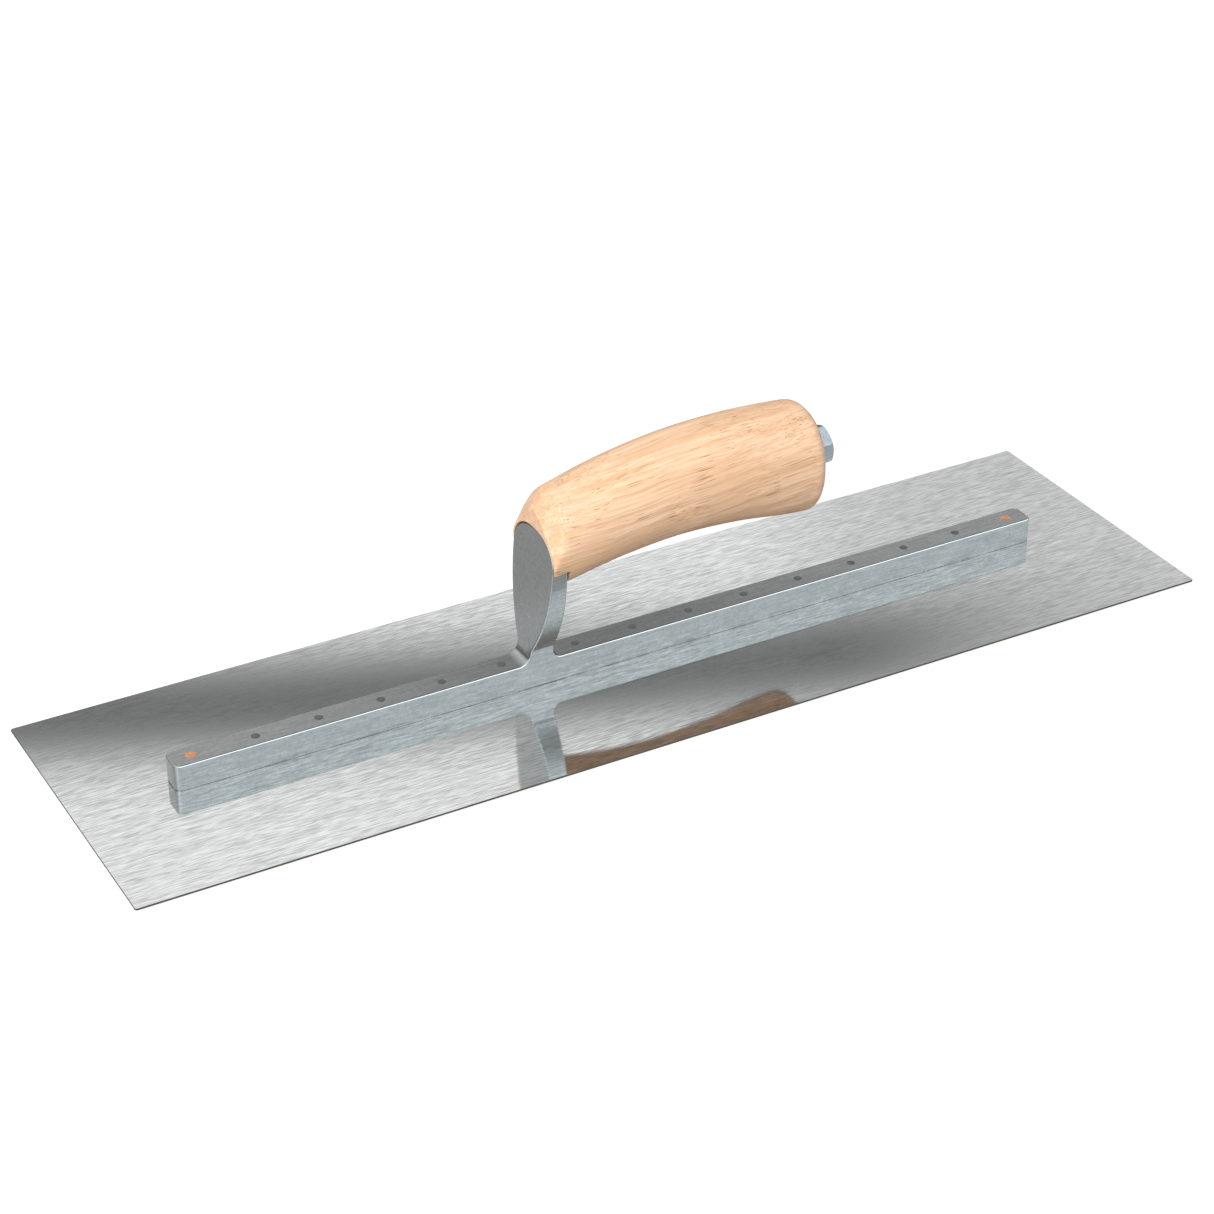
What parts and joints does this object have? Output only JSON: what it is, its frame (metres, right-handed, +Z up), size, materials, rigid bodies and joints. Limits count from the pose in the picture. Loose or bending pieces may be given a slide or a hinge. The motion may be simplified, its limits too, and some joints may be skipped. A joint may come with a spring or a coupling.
{
  "type": "steel finishing trowel",
  "caption": "Long flat rectangular steel blade riveted under a narrow bar, with a curved wood handle held on a leaf-shaped shank by a rod and nut.",
  "frame": {"origin": "centre of the blade's underside, which lies on Z = 0", "axes": "+X along the blade towards the handle's butt, +Y across the blade, +Z up from the blade to the handle"},
  "size_m": [0.4064, 0.1142, 0.0822],
  "materials": {
    "blade_steel": "fine brushed along the length",
    "cast_aluminium": "satin, lightly tumbled",
    "handle_wood": "sanded and clear coated",
    "rod_steel": "plain drawn",
    "washer_steel": "plated",
    "plated_steel": "bright zinc plated",
    "rivet_steel": "ground flush",
    "rivet_copper": "copper, ground flush"
  },
  "bodies": {
    "root": {"blade": "blade_steel", "mounting": "cast_aluminium", "handle": "handle_wood", "handle_rod": "rod_steel", "handle_washer": "washer_steel", "handle_nut": "plated_steel", "end_rivet_toe": "rivet_copper", "end_rivet_heel": "rivet_copper", "rivet_01": "rivet_steel", "rivet_02": "rivet_steel", "rivet_03": "rivet_steel", "rivet_04": "rivet_steel", "rivet_05": "rivet_steel", "rivet_06": "rivet_steel", "rivet_07": "rivet_steel", "rivet_08": "rivet_steel", "rivet_09": "rivet_steel", "rivet_10": "rivet_steel", "rivet_11": "rivet_steel", "rivet_12": "rivet_steel", "rivet_13": "rivet_steel"}
  },
  "joints": []
}
